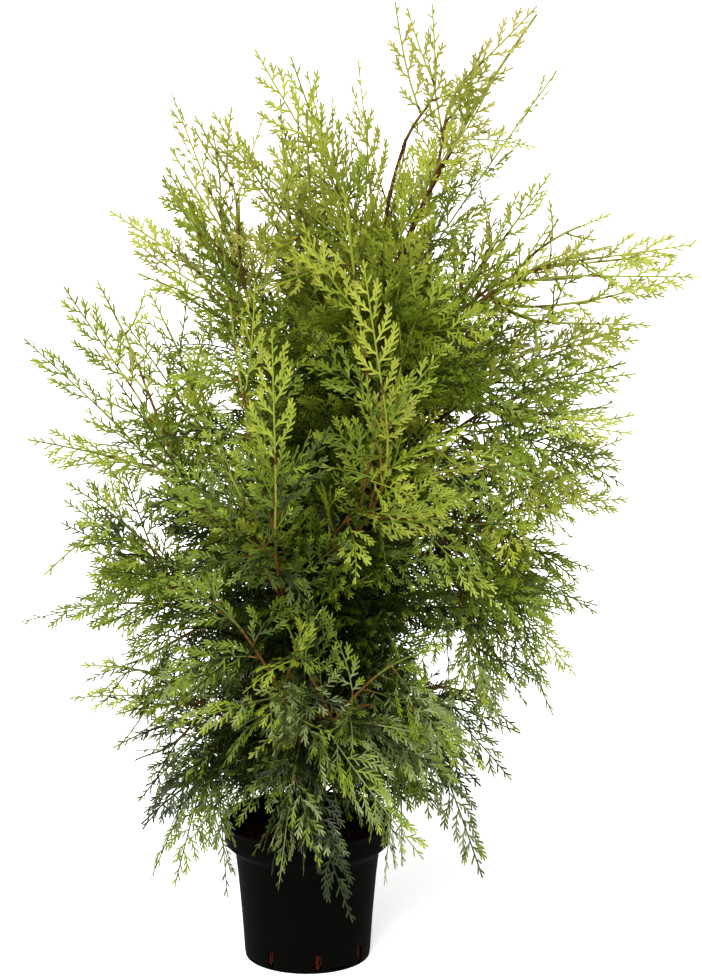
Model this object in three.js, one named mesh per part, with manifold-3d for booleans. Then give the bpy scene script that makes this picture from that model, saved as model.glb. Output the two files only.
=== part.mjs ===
// A young garden thuja in a nursery pot: a black plastic container filled with compost, one leaning
// leader with a second leader forked off it, boughs that rise off the leader, and on each bough the
// plumes of foliage that it carries. Millimetres, +Z up. The origin is the centre of the pot's
// underside, +X is to the right of the plant's front and the front looks along -Y.

import * as THREE from "three";
import { mergeVertices } from "three/addons/utils/BufferGeometryUtils.js";
import Module from "manifold-3d";

const wasm = await Module();
wasm.setup();

// Pot: a 19 cm container
const POT_HEIGHT = 160;
const RIM_RADIUS = 95;
const BASE_RADIUS = 70;
const BASE_CHAMFER = 3.5;
const WALL = 2;
const BAND_FOOT = 141; // height where the upright rim band begins
const SHOULDER_FOOT = 123; // height where the body starts to flare out to the band
const SHOULDER_RADIUS = 83.2;
const POT_SEGMENTS = 32;
const SLOTS = 8;
const SLOT_WIDTH = 6;
const SLOT_HEIGHT = 21;
const SLOT_TURN = 10.5; // degrees from the front to the first slot
const ARCHES = 4; // drain arches in the foot
const ARCH_WIDTH = 14;
const ARCH_HEIGHT = 3.5;

// Compost
const COMPOST_TOP = 140;
const COMPOST_DOME = 4;

// Leader: it leans to the right, more and more towards its tip
const LEADER_FOOT = COMPOST_TOP - 5; // cut off level with the compost
const LEADER_FOOT_X = 8;
const LEADER_TIP = new THREE.Vector3(246, 4, 1052);
const LEADER_BEND = 2.8; // power of the lean
const LEADER_RADIUS = 8.5;
const LEADER_TIP_RADIUS = 1.3;
const ROOT_FLARE = 5;
const FLARE_HEIGHT = 22;

const BOUGH_TIP_SHARE = 0.62; // of a bough's radius at the leader
const GAP = 0.5; // left between solids that touch
const SMOOTHING = 0.15; // slivers smaller than this are closed up

// name: [height where it leaves the leader, heading in degrees, reach from the pot's axis,
//        height of its end, radius]. Heading 0 is right, 90 back, 180 left, 270 front.
const BOUGHS = {
  right_high: [585, 0, 138, 692, 3.4],
  right_mid: [455, 6, 92, 548, 3.4],
  right_low: [350, 2, 84, 425, 3.4],
  right_foot: [235, 354, 74, 305, 3.2],
  left_high: [490, 176, 60, 690, 3.8],
  left_arm: [390, 180, 74, 478, 3.4],
  left_low: [295, 183, 76, 368, 3.4],
  left_foot: [222, 192, 76, 268, 3.0],
  front_left: [320, 250, 68, 425, 3.2],
  front_right: [375, 296, 70, 480, 3.2],
  front_low: [240, 274, 66, 288, 3.0],
  back_high: [560, 95, 48, 668, 3.4],
  back_left: [405, 132, 76, 492, 3.4],
  back_right: [425, 48, 80, 512, 3.4],
  back_low: [262, 95, 72, 322, 3.2],
};

// name: [what carries it, heading, reach, height of its tip, width across the heading, depth up and down]
const PLUMES = {
  right_arm: ["right_high", 1, 415, 808, 84, 74],
  right_crest: ["right_high", 14, 262, 868, 116, 110],
  right_arm_low: ["right_high", 349, 410, 756, 100, 74],
  right_side_high: ["right_mid", 12, 378, 678, 150, 116],
  right_side: ["right_mid", 350, 345, 600, 150, 110],
  right_side_low: ["right_low", 7, 355, 497, 160, 124],
  right_hem: ["right_low", 352, 288, 345, 160, 120],
  right_skirt_high: ["right_foot", 359, 214, 210, 150, 150],
  right_skirt: ["right_foot", 346, 187, 118, 110, 84],
  left_crest: ["left_high", 178, 152, 950, 116, 100],
  left_shoulder: ["left_high", 170, 218, 809, 140, 110],
  left_shoulder_high: ["left_high", 208, 166, 868, 140, 110],
  left_side_high: ["left_arm", 166, 262, 745, 150, 120],
  left_arm: ["left_arm", 180, 315, 678, 110, 96],
  left_arm_low: ["left_arm", 195, 295, 600, 140, 110],
  left_side: ["left_low", 172, 274, 500, 160, 124],
  left_side_low: ["left_low", 190, 268, 412, 160, 116],
  left_hem: ["left_foot", 183, 252, 290, 150, 140],
  left_skirt_high: ["left_foot", 172, 178, 172, 120, 90],
  left_skirt: ["left_foot", 214, 166, 126, 120, 84],
  front_left_shoot: ["front_left", 254, 150, 735, 150, 116],
  front_left_side: ["front_left", 226, 236, 570, 160, 124],
  front_right_shoot: ["front_right", 292, 140, 800, 150, 116],
  front_right_side: ["front_right", 316, 244, 560, 160, 124],
  front_left_low: ["front_low", 232, 222, 330, 150, 110],
  front_right_low: ["front_low", 312, 218, 290, 150, 110],
  front_left_skirt: ["front_low", 258, 124, 132, 110, 60],
  front_right_skirt: ["front_low", 292, 130, 96, 104, 56],
  back_crest: ["back_high", 95, 100, 935, 140, 110],
  back_shoulder_left: ["back_high", 138, 188, 830, 150, 116],
  back_shoulder_right: ["back_high", 42, 240, 800, 150, 110],
  back_left_high: ["back_left", 143, 262, 690, 160, 124],
  back_left_side: ["back_left", 118, 256, 565, 165, 120],
  back_right_high: ["back_right", 38, 300, 690, 150, 116],
  back_right_side: ["back_right", 66, 266, 560, 160, 120],
  back_left_low: ["back_low", 132, 246, 372, 170, 124],
  back_right_low: ["back_low", 50, 248, 350, 160, 120],
  top_crest: ["leader", 30, 50, 960, 160, 130],
  top_arch: ["leader", 160, 82, 976, 140, 120],
  leader_tuft: ["leader", 1, 246, 1058, 64, 80],
  second_tuft: ["second_leader", 2, 137, 1052, 80, 90],
};

// Where the plumes that sit on the two leaders start, as a height
const STARTS = { top_crest: 620, top_arch: 580, leader_tuft: 850 };
const SECOND_LEADER = { from: 740, reach: 108, top: 920, radius: 2.6 };

const PLUME_SIDES = 7;
const PLUME_RINGS = 6;

const UP = new THREE.Vector3(0, 0, 1);
const radians = THREE.MathUtils.degToRad;

function at(heading, reach, height) {
  const a = radians(heading);
  return new THREE.Vector3(reach * Math.cos(a), reach * Math.sin(a), height);
}

class LeaningStem extends THREE.Curve {
  getPoint(t) {
    const x = LEADER_FOOT_X + (LEADER_TIP.x - LEADER_FOOT_X) * Math.pow(t, LEADER_BEND);
    const sway = 6 * Math.sin(2 * Math.PI * t);
    return new THREE.Vector3(x, LEADER_TIP.y * t + sway, THREE.MathUtils.lerp(LEADER_FOOT, LEADER_TIP.z, t));
  }
}
const leaderPath = new LeaningStem();
const leaderShare = (height) => (height - LEADER_FOOT) / (LEADER_TIP.z - LEADER_FOOT);
const onLeader = (height) => leaderPath.getPoint(leaderShare(height));

function leaderRadius(t) {
  const height = t * (LEADER_TIP.z - LEADER_FOOT);
  const taper = THREE.MathUtils.lerp(LEADER_RADIUS, LEADER_TIP_RADIUS, Math.pow(t, 0.75));
  return taper + ROOT_FLARE * Math.exp(-height / FLARE_HEIGHT);
}

// A bough leaves the leader steeply and bends outwards.
function boughPath(from, end) {
  const bend = from.clone().lerp(end, 0.4);
  bend.z = from.z + 0.72 * (end.z - from.z);
  return new THREE.QuadraticBezierCurve3(from, bend, end);
}

// A plume goes on in its bough's direction and bends to its own tip, less so where it turns sharply.
function plumePath(from, direction, tip) {
  const chord = tip.clone().sub(from);
  const bend = from.clone().addScaledVector(direction, 0.45 * Math.max(0.1 * chord.length(), chord.dot(direction)));
  return new THREE.QuadraticBezierCurve3(from, bend, tip);
}

// Moves each vertex of a unit geometry, long along y from -1/2 to 1/2, to its place along a path.
// section(t, angle) gives how far it stands to the side and upwards of the path, and both ends move
// out by swell. The rings of a slim limb turn with the path. Those of a wide plume stay square to
// the way from its start to its end, so that they never fold into each other.
function bendAlong(geometry, path, section, swell, turning) {
  const chord = path.getPoint(1).sub(path.getPoint(0)).normalize();
  const across = new THREE.Vector3().crossVectors(chord, UP);
  if (across.length() < 0.35) across.set(0, 1, 0);
  const spots = geometry.attributes.position;
  for (let i = 0; i < spots.count; i++) {
    const [x, y, z] = [spots.getX(i), spots.getY(i), spots.getZ(i)];
    const t = THREE.MathUtils.clamp(y + 0.5, 0, 1);
    const onwards = turning ? path.getTangent(t) : chord;
    const side = across.clone().addScaledVector(onwards, -across.dot(onwards)).normalize();
    const rise = new THREE.Vector3().crossVectors(side, onwards).normalize();
    const onAxis = Math.hypot(x, z) < 1e-4;
    const [aside, above] = onAxis ? [0, 0] : section(t, Math.atan2(z, x));
    const outwards = Math.abs(y) > 0.499 ? Math.sign(y) * swell : 0;
    const spot = path.getPoint(t).addScaledVector(onwards, outwards);
    spot.addScaledVector(side, aside).addScaledVector(rise, above);
    spots.setXYZ(i, spot.x, spot.y, spot.z);
  }
  return geometry;
}

function limb(path, radiusAt, sides, steps, swell = 0) {
  const round = (t, angle) => [
    (radiusAt(t) + swell) * Math.cos(angle),
    (radiusAt(t) + swell) * Math.sin(angle),
  ];
  return bendAlong(new THREE.CylinderGeometry(1, 1, 1, sides, steps), path, round, swell, true);
}

// A plume is widest a third of the way along and runs out to a thin tip. Its surface is uneven.
function plume(path, width, depth, seed, swell = 0) {
  const body = (t) => Math.pow(Math.sin(Math.PI * Math.pow(t, 0.6)), 0.75);
  const uneven = (t, angle) =>
    1 + 0.13 * Math.sin(3 * angle + 1.7 * seed + 4 * t) + 0.09 * Math.sin(11 * t + 2.3 * seed + angle);
  const section = (t, angle) => {
    const size = body(t) * uneven(t, angle);
    return [
      (0.5 * width * size + swell) * Math.cos(angle),
      (0.5 * depth * size + swell) * Math.sin(angle),
    ];
  };
  const egg = new THREE.SphereGeometry(0.5, PLUME_SIDES, PLUME_RINGS);
  egg.rotateX(Math.PI);
  return bendAlong(egg, path, section, swell, false);
}

// three.js geometry to manifold-3d solid and back
function solidOf(geometry) {
  const plain = geometry.clone();
  plain.deleteAttribute("normal");
  plain.deleteAttribute("uv");
  const merged = mergeVertices(plain, 2e-3);
  return new wasm.Manifold(
    new wasm.Mesh({
      numProp: 3,
      vertProperties: merged.attributes.position.array,
      triVerts: new Uint32Array(merged.index.array),
    }),
  );
}

function geometryOf(solid) {
  const mesh = solid.getMesh();
  const made = new THREE.BufferGeometry();
  made.setAttribute("position", new THREE.BufferAttribute(mesh.vertProperties, 3));
  made.setIndex(new THREE.BufferAttribute(mesh.triVerts, 1));
  made.computeVertexNormals();
  return made;
}

function meet(a, b) {
  const [p, q] = [a.boundingBox(), b.boundingBox()];
  return p.min.every((low, k) => low < q.max[k] && q.min[k] < p.max[k]);
}

const largest = (solid) => solid.decompose().sort((a, b) => b.volume() - a.volume())[0];

// The largest piece of a solid once the others are cut out of it. Taking it twice, with its corners
// merged in between, also drops what hangs on by a corner only.
function cutRound(solid, others) {
  const left = others.filter((other) => meet(solid, other)).reduce((kept, other) => kept.subtract(other), solid);
  return largest(solidOf(geometryOf(largest(left)))).simplify(SMOOTHING);
}

function finish(colour, roughness) {
  return new THREE.MeshStandardMaterial({ color: colour, roughness, metalness: 0 });
}
const PLASTIC = finish("#111110", 0.45);
const PEAT = finish("#2b1d14", 0.95);
const BARK = finish("#7a3f26", 0.8);
const FOLIAGE = finish("#6f8f34", 0.6);

const group = new THREE.Group();

function add(name, geometry, material) {
  const mesh = new THREE.Mesh(geometry, material);
  mesh.name = name;
  group.add(mesh);
}

// Pot: a lathed shell, with slots up from the foot and drain arches under it
function lathe(profile) {
  const points = profile.map(([radius, height]) => new THREE.Vector2(radius, height));
  return new THREE.LatheGeometry(points, POT_SEGMENTS).rotateX(Math.PI / 2);
}

function cutter(width, height, turn) {
  const depth = 2 * BASE_RADIUS * 0.22;
  const box = new THREE.BoxGeometry(depth, width, height);
  box.translate(BASE_RADIUS, 0, 0).rotateZ(radians(turn - 90));
  return box;
}

function pot() {
  const shell = solidOf(
    lathe([
      [0, 0],
      [BASE_RADIUS - BASE_CHAMFER, 0],
      [BASE_RADIUS, BASE_CHAMFER],
      [SHOULDER_RADIUS, SHOULDER_FOOT],
      [RIM_RADIUS - 1, BAND_FOOT],
      [RIM_RADIUS, POT_HEIGHT - 1],
      [RIM_RADIUS - 1, POT_HEIGHT],
      [RIM_RADIUS - WALL, POT_HEIGHT],
      [RIM_RADIUS - 1 - WALL, BAND_FOOT],
      [SHOULDER_RADIUS - WALL, SHOULDER_FOOT],
      [BASE_RADIUS - WALL, BASE_CHAMFER + WALL],
      [BASE_RADIUS - WALL - BASE_CHAMFER, WALL],
      [0, WALL],
    ]),
  );
  const turns = (count, offset) => Array.from({ length: count }, (_, k) => offset + (360 * k) / count);
  const slots = turns(SLOTS, SLOT_TURN).map((turn) =>
    cutter(SLOT_WIDTH, SLOT_HEIGHT, turn).translate(0, 0, SLOT_HEIGHT / 2 + WALL),
  );
  const arches = turns(ARCHES, SLOT_TURN + 180 / SLOTS).map((turn) => cutter(ARCH_WIDTH, 2 * ARCH_HEIGHT, turn));
  return [...slots, ...arches].reduce((kept, box) => kept.subtract(solidOf(box)), shell);
}

function compost() {
  const inner = (radius) => radius - WALL - 2 * GAP;
  return lathe([
    [0, WALL + GAP],
    [inner(BASE_RADIUS) - BASE_CHAMFER, WALL + GAP],
    [inner(BASE_RADIUS), BASE_CHAMFER + WALL + GAP],
    [inner(SHOULDER_RADIUS), SHOULDER_FOOT],
    [inner(RIM_RADIUS) - 6, COMPOST_TOP - COMPOST_DOME],
    [LEADER_RADIUS + 3 * ROOT_FLARE, COMPOST_TOP - GAP],
    [0, COMPOST_TOP - GAP],
  ]);
}

add("pot", geometryOf(pot()), PLASTIC);
add("compost", compost(), PEAT);

// Leaders and boughs. swollen holds each limb with the gap round it, to cut the plumes with. It starts
// with the ground, which cuts the leader's root flare flat.
const ground = new THREE.BoxGeometry(RIM_RADIUS, RIM_RADIUS, 20).translate(0, 0, COMPOST_TOP - 10);
const swollen = [solidOf(ground)];
const ends = {}; // where each carrier ends, and its direction there

function addLimb(name, path, radiusAt, sides, steps) {
  const raw = solidOf(limb(path, radiusAt, sides, steps));
  add(name, geometryOf(cutRound(raw, swollen)), BARK);
  swollen.push(solidOf(limb(path, radiusAt, sides, steps, GAP)));
  ends[name] = { point: path.getPoint(1), direction: path.getTangent(1) };
}

addLimb("leader", leaderPath, leaderRadius, 8, 14);

const fork = onLeader(SECOND_LEADER.from);
const forkEnd = at(2, SECOND_LEADER.reach, SECOND_LEADER.top);
addLimb(
  "second_leader",
  new THREE.QuadraticBezierCurve3(fork, fork.clone().lerp(forkEnd, 0.5).setX(fork.x - 6), forkEnd),
  (t) => SECOND_LEADER.radius * (1 - (1 - BOUGH_TIP_SHARE) * t),
  6,
  5,
);

for (const [name, [from, heading, reach, top, radius]] of Object.entries(BOUGHS)) {
  const path = boughPath(onLeader(from), at(heading, reach, top));
  addLimb(`bough_${name}`, path, (t) => radius * (1 - (1 - BOUGH_TIP_SHARE) * t), 6, 4);
}

// Plumes, each cut round the pot, the limbs and the plumes before it
const potSpace = lathe([
  [0, 0],
  [BASE_RADIUS + 2 * GAP, 0],
  [SHOULDER_RADIUS + 2 * GAP, SHOULDER_FOOT - GAP],
  [RIM_RADIUS + 2 * GAP, BAND_FOOT - GAP],
  [RIM_RADIUS + 2 * GAP, POT_HEIGHT + GAP],
  [0, POT_HEIGHT + GAP],
]);
const grown = [solidOf(potSpace)];
Object.entries(PLUMES).forEach(([name, [carrier, heading, reach, top, width, depth]], seed) => {
  const tip = at(heading, reach, top);
  let { point, direction } = ends[carrier in BOUGHS ? `bough_${carrier}` : carrier];
  if (name in STARTS) {
    point = onLeader(STARTS[name]);
    direction = leaderPath.getTangent(leaderShare(STARTS[name]));
  }
  const path = plumePath(point, direction, tip);
  const raw = solidOf(plume(path, width, depth, seed));
  add(`plume_${name}`, geometryOf(cutRound(raw, [...swollen, ...grown])), FOLIAGE);
  grown.push(solidOf(plume(path, width, depth, seed, GAP)));
});

export default group;
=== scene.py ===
# %% [markdown]
# # A potted thuja
# A young garden thuja stands in a black nursery pot. Its leader leans to the right, boughs rise off
# the leader, and each bough carries plumes of flat, fern-like sprays. The model that this script
# loads holds the plant's plan as plain solids. They say where every limb runs and how far every mass
# of foliage reaches. Here each of them gives way to what grows there.

# %% Load the plan of the plant
import math

import bpy
import numpy as np
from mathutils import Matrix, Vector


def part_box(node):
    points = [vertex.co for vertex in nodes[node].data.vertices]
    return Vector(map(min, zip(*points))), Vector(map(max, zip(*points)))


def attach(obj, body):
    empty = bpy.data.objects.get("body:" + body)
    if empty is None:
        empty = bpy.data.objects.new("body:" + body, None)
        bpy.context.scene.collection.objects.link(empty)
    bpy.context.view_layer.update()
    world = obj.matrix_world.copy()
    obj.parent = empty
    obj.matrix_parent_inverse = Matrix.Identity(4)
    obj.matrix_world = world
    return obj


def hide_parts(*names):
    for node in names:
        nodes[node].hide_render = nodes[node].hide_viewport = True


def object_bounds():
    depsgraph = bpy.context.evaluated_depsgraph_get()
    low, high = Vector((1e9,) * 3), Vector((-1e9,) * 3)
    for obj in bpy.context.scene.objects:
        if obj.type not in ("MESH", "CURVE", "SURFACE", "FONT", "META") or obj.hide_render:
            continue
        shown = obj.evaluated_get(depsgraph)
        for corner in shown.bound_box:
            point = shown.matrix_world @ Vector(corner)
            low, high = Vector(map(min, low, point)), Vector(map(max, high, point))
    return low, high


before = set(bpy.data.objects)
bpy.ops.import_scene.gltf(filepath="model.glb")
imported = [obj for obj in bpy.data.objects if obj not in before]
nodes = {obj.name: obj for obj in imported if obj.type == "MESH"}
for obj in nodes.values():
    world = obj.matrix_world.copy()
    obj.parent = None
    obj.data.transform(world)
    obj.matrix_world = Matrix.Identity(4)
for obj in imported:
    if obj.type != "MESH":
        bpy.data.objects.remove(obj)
cad_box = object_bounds()
boughs = sorted(name for name in nodes if name.startswith("bough_"))
plumes = sorted(name for name in nodes if name.startswith("plume_"))
print(f"{len(boughs)} boughs carry {len(plumes)} plumes in a box of {np.round(cad_box, 3).tolist()}")

# %% [markdown]
# ## Helpers
# A plant is made of very many small things, so most of this script works on whole arrays at once:
# one row for each shoot or leaf. A few small helpers join such arrays, turn them into Blender meshes
# and give each mesh its place in the model. Every draw of chance comes from one seeded generator, so
# that the same plant grows each time.

# %% Lengths, vectors and meshes
MM = 0.001
UP = np.array([0.0, 0.0, 1.0])
rng = np.random.default_rng(20)


def unit(vectors):
    return vectors / np.maximum(np.linalg.norm(vectors, axis=-1, keepdims=True), 1e-9)


def mesh_piece(name, points, faces, material, smooth=True):
    """A mesh from an array of points and an array of faces that all have as many corners."""
    mesh = bpy.data.meshes.new(name)
    count, corners = faces.shape
    mesh.vertices.add(len(points))
    mesh.vertices.foreach_set("co", np.asarray(points, dtype=np.float32).ravel())
    mesh.loops.add(count * corners)
    mesh.loops.foreach_set("vertex_index", faces.astype(np.int32).ravel())
    mesh.polygons.add(count)
    mesh.polygons.foreach_set("loop_start", np.arange(0, count * corners, corners, dtype=np.int32))
    mesh.update(calc_edges=True)
    mesh.polygons.foreach_set("use_smooth", np.full(count, smooth))
    mesh.materials.append(material)
    piece = bpy.data.objects.new(name, mesh)
    bpy.context.scene.collection.objects.link(piece)
    return piece


def joined(parts):
    """The points and faces of several parts as those of one part."""
    offsets = np.cumsum([0] + [len(points) for points, _ in parts[:-1]])
    points = np.concatenate([points for points, _ in parts])
    return points, np.concatenate([faces + offset for (_, faces), offset in zip(parts, offsets)])


def repeated(points, faces):
    """Many small parts as one. Points has a row for each part, and faces are those of one part."""
    count, corners, _ = points.shape
    every = np.array(faces)[None] + corners * np.arange(count)[:, None, None]
    return points.reshape(-1, 3), every.reshape(-1, 3)


def place(piece, slot, *replaced):
    """Makes a piece move with the plant and hides the solids it stands for. The slot is not used."""
    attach(piece, "root")
    if replaced:
        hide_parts(*replaced)
    print(f"{piece.name}: {len(piece.data.polygons)} faces")


# %% [markdown]
# ## Colours and materials
# Colours are written as the hex values that a colour picker shows, and one function turns them into
# the linear values that a renderer works with. Another function adds one shader node with its
# settings and its links, which keeps each material down to a few readable lines.

# %% Colour and node helpers
WHITE = (1, 1, 1, 1)


def linear(hex_colour):
    """The linear red, green, blue and alpha of a colour picker's hex value."""
    shares = [int(hex_colour[k : k + 2], 16) / 255 for k in (1, 3, 5)]
    return [c / 12.92 if c <= 0.04045 else ((c + 0.055) / 1.055) ** 2.4 for c in shares] + [1.0]


def add_node(material, kind, values=None, links=None, **settings):
    """A new node with settings, values for its inputs, and links from other nodes' outputs to them."""
    made = material.node_tree.nodes.new(kind)
    for name, setting in settings.items():
        setattr(made, name, setting)
    for socket, value in (values or {}).items():
        made.inputs[socket].default_value = value
    for socket, output in (links or {}).items():
        material.node_tree.links.new(output, made.inputs[socket])
    return made


def new_material(name):
    """An empty material with only its output node, and that node's surface input."""
    material = bpy.data.materials.new(name)
    material.use_nodes = True
    material.node_tree.nodes.clear()
    return material, add_node(material, "ShaderNodeOutputMaterial").inputs["Surface"]


def patterned(
    name, dark, light, grain_mm, roughness, bump_mm, stretch=(1, 1, 1), ior=1.45, gloss=0.5, glow=0.0
):
    """Two colours mixed by a noise of a given grain, with a bump to match. Gloss 0.5 is the IOR's own."""
    material, surface = new_material(name)
    place_of = add_node(material, "ShaderNodeTexCoord").outputs["Object"]
    stretched = add_node(material, "ShaderNodeMapping", {"Scale": stretch}, {"Vector": place_of})
    grain = add_node(
        material,
        "ShaderNodeTexNoise",
        {"Scale": 1 / (grain_mm * MM), "Detail": 4.0, "Roughness": 0.6},
        {"Vector": stretched.outputs["Vector"]},
    )
    colours = add_node(material, "ShaderNodeValToRGB", links={"Fac": grain.outputs["Fac"]})
    colours.color_ramp.elements[0].position = 0.35
    colours.color_ramp.elements[0].color = linear(dark)
    colours.color_ramp.elements[1].position = 0.65
    colours.color_ramp.elements[1].color = linear(light)
    relief = add_node(
        material,
        "ShaderNodeBump",
        {"Strength": 0.6, "Distance": bump_mm * MM},
        {"Height": grain.outputs["Fac"]},
    )
    finish = {"Roughness": roughness, "IOR": ior, "Specular IOR Level": gloss}
    shader = add_node(
        material,
        "ShaderNodeBsdfPrincipled",
        {**finish, "Emission Color": WHITE, "Emission Strength": glow},
        {"Base Color": colours.outputs["Color"], "Normal": relief.outputs["Normal"]},
    )
    material.node_tree.links.new(shader.outputs["BSDF"], surface)
    return material


# %% [markdown]
# ## The camera
# The camera comes early, so that every later step can be looked at. It is a long lens a few metres
# away, a little above the plant and tilted down, as a nursery's catalogue shows its plants. The
# frame is taller than wide, so the sensor's 36 mm lie along its height.

# %% Camera
CAMERA_PLACE = (0.049, -3.60, 1.37)
CAMERA_TILT = 13.02  # degrees down from level
LENS = 124.7

camera = bpy.data.objects.new("camera", bpy.data.cameras.new("camera"))
camera.data.lens = LENS
camera.data.sensor_width = 36
camera.location = CAMERA_PLACE
camera.rotation_euler = (math.radians(90 - CAMERA_TILT), 0, 0)
bpy.context.scene.collection.objects.link(camera)
bpy.context.scene.camera = camera
print("camera at", CAMERA_PLACE, "with a lens of", LENS, "mm")

# %% [markdown]
# ## Reading the limbs
# Each limb in the model is a plain tapering solid made of rings of corners. Sorting the corners along
# the limb and splitting them wherever there is a gap finds the rings again. Their middles give the
# line that the limb follows, and their sizes its thickness. Every later step grows from these lines,
# so the finished limbs lie exactly where the model has them.

# %% Lines of the limbs
LEADER_RING_GAP, BOUGH_RING_GAP = 14 * MM, 6 * MM  # corners further apart than this are in two rings
FOOT_SWELLING = 1.15  # how much thicker a bough is where it leaves the leader


def corners_of(name):
    mesh = nodes[name].data
    spots = np.empty(len(mesh.vertices) * 3)
    mesh.vertices.foreach_get("co", spots)
    return np.unique(spots.reshape(-1, 3).round(6), axis=0)


def rings_of(spots, heading, gap):
    """Middles and radii of the rings of corners that a limb is made of, from its foot to its tip."""
    spots = spots[np.argsort(spots @ heading)]
    splits = np.flatnonzero(np.diff(spots @ heading) > gap) + 1
    rings = np.split(spots, splits)
    middles = np.array([ring.mean(axis=0) for ring in rings])
    reaches = [np.linalg.norm(ring - middle, axis=1).max() for ring, middle in zip(rings, middles)]
    return middles, np.array(reaches)


def smooth_line(points, values, count):
    """Points and values along a smooth curve through the given ones, evenly spaced."""
    steps = np.linalg.norm(np.diff(points, axis=0), axis=1)
    knots = np.concatenate([[0], np.cumsum(steps)])
    slopes = np.gradient(points, knots, axis=0)
    wanted = np.linspace(0, knots[-1], count)
    k = np.clip(np.searchsorted(knots, wanted, side="right") - 1, 0, len(knots) - 2)
    span = (knots[k + 1] - knots[k])[:, None]
    u = (wanted - knots[k])[:, None] / span
    line = (
        (2 * u**3 - 3 * u**2 + 1) * points[k]
        + (u**3 - 2 * u**2 + u) * span * slopes[k]
        + (3 * u**2 - 2 * u**3) * points[k + 1]
        + (u**3 - u**2) * span * slopes[k + 1]
    )
    return line, np.interp(wanted, knots, values)


leader_line, leader_radii = smooth_line(*rings_of(corners_of("leader"), UP, LEADER_RING_GAP), 260)


def nearest_on_leader(spot):
    return int(np.argmin(np.linalg.norm(leader_line - spot, axis=1)))


def limb_of(name, count):
    """Line and radii of a limb that leaves the leader, starting inside the leader."""
    spots = corners_of(name)
    foot = spots[np.argmin([np.linalg.norm(leader_line - s, axis=1).min() for s in spots])]
    far = spots[np.argmax(np.linalg.norm(spots - foot, axis=1))]
    middles, radii = rings_of(spots, unit(far - foot), BOUGH_RING_GAP)
    root = leader_line[nearest_on_leader(middles[0])]
    middles = np.vstack([root, middles[1:]])
    radii = np.concatenate([[radii[1:].max() * FOOT_SWELLING], radii[1:]])
    return smooth_line(middles, radii, count)


limbs = {name: limb_of(name, 60) for name in boughs + ["second_leader"]}
limbs["leader"] = (leader_line, leader_radii)
for name, (line, radii) in limbs.items():
    length = np.linalg.norm(np.diff(line, axis=0), axis=1).sum()
    print(f"{name}: {length * 1000:.0f} mm long, {radii[0] * 2000:.1f} to {radii[-1] * 2000:.1f} mm thick")

# %% [markdown]
# ## Reading the plumes
# A plume is the mass of foliage that one shoot carries beyond the end of its bough. The shoot starts
# in the bough's own direction and bends to the plume's tip, which is the corner of the solid that is
# furthest from the bough. How far the other corners stand off that line says how wide and how deep
# the plume is. The list below says which limb carries which plumes, as the plant itself does.

# %% Shoots of the plumes
CARRIED = {
    "leader": ["top_crest", "top_arch", "leader_tuft"],
    "second_leader": ["second_tuft"],
    "bough_right_high": ["right_arm", "right_crest", "right_arm_low"],
    "bough_right_mid": ["right_side_high", "right_side"],
    "bough_right_low": ["right_side_low", "right_hem"],
    "bough_right_foot": ["right_skirt_high", "right_skirt"],
    "bough_left_high": ["left_crest", "left_shoulder", "left_shoulder_high"],
    "bough_left_arm": ["left_side_high", "left_arm", "left_arm_low"],
    "bough_left_low": ["left_side", "left_side_low"],
    "bough_left_foot": ["left_hem", "left_skirt_high", "left_skirt"],
    "bough_front_left": ["front_left_shoot", "front_left_side"],
    "bough_front_right": ["front_right_shoot", "front_right_side"],
    "bough_front_low": ["front_left_low", "front_right_low", "front_left_skirt", "front_right_skirt"],
    "bough_back_high": ["back_crest", "back_shoulder_left", "back_shoulder_right"],
    "bough_back_left": ["back_left_high", "back_left_side"],
    "bough_back_right": ["back_right_high", "back_right_side"],
    "bough_back_low": ["back_left_low", "back_right_low"],
}
SHOOT_POINTS = 40
HEADSTART = 0.45  # how far along its bough's heading a shoot bends, as a share of the way it has to go
ARCH = 0.2  # of its length, how far the bend lies above that
WANDER = 0.022  # of its length, how far it strays from its plain arc


def arc(start, bend, tip, reach):
    """A line that sets out towards the bend and ends at the tip, with small bends on the way."""
    t = np.linspace(0, 1, SHOOT_POINTS)[:, None]
    line = (1 - t) ** 2 * start + 2 * t * (1 - t) * bend + t**2 * tip
    waves = [rng.normal(0, 1, 3) * np.sin(math.pi * k * t) / k for k in (1, 2, 3)]
    return line + WANDER * reach * sum(waves)


def plume_shoot(name, carrier):
    """The line of a plume's main shoot, and the half width and half depth of the plume round it."""
    spots = corners_of(f"plume_{name}")
    line, _ = limbs[carrier]
    k = len(line) - 2
    if carrier == "leader":
        k = min(nearest_on_leader(spots[np.argmin(spots[:, 2])]), k)
    start = line[k]
    heading = unit(line[k + 1] - line[k])
    tip = spots[np.argmax(np.linalg.norm(spots - start, axis=1))]
    chord = tip - start
    reach = np.linalg.norm(chord)
    across = np.cross(chord / reach, UP)
    nearly_upright = np.linalg.norm(across) < 0.35
    across = unit(np.array([0.0, 1.0, 0.0]) if nearly_upright else across)
    rise = unit(np.cross(across, chord))
    bend = start + heading * HEADSTART * max(0.1 * reach, chord @ heading) + ARCH * reach * rise
    shoot = arc(start, bend, tip, reach)
    middle = shoot[np.argmin(np.linalg.norm(spots[:, None] - shoot[None], axis=2), axis=1)]
    half_width = np.abs((spots - middle) @ across).max()
    half_depth = np.abs((spots - middle) @ rise).max()
    return {
        "name": name,
        "line": shoot,
        "reach": reach,
        "across": across,
        "rise": rise,
        "half": (half_width, half_depth),
    }


shoots = [plume_shoot(name, carrier) for carrier, names in CARRIED.items() for name in names]
print(f"{len(shoots)} shoots, {sum(s['reach'] for s in shoots):.1f} m in all")

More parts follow.
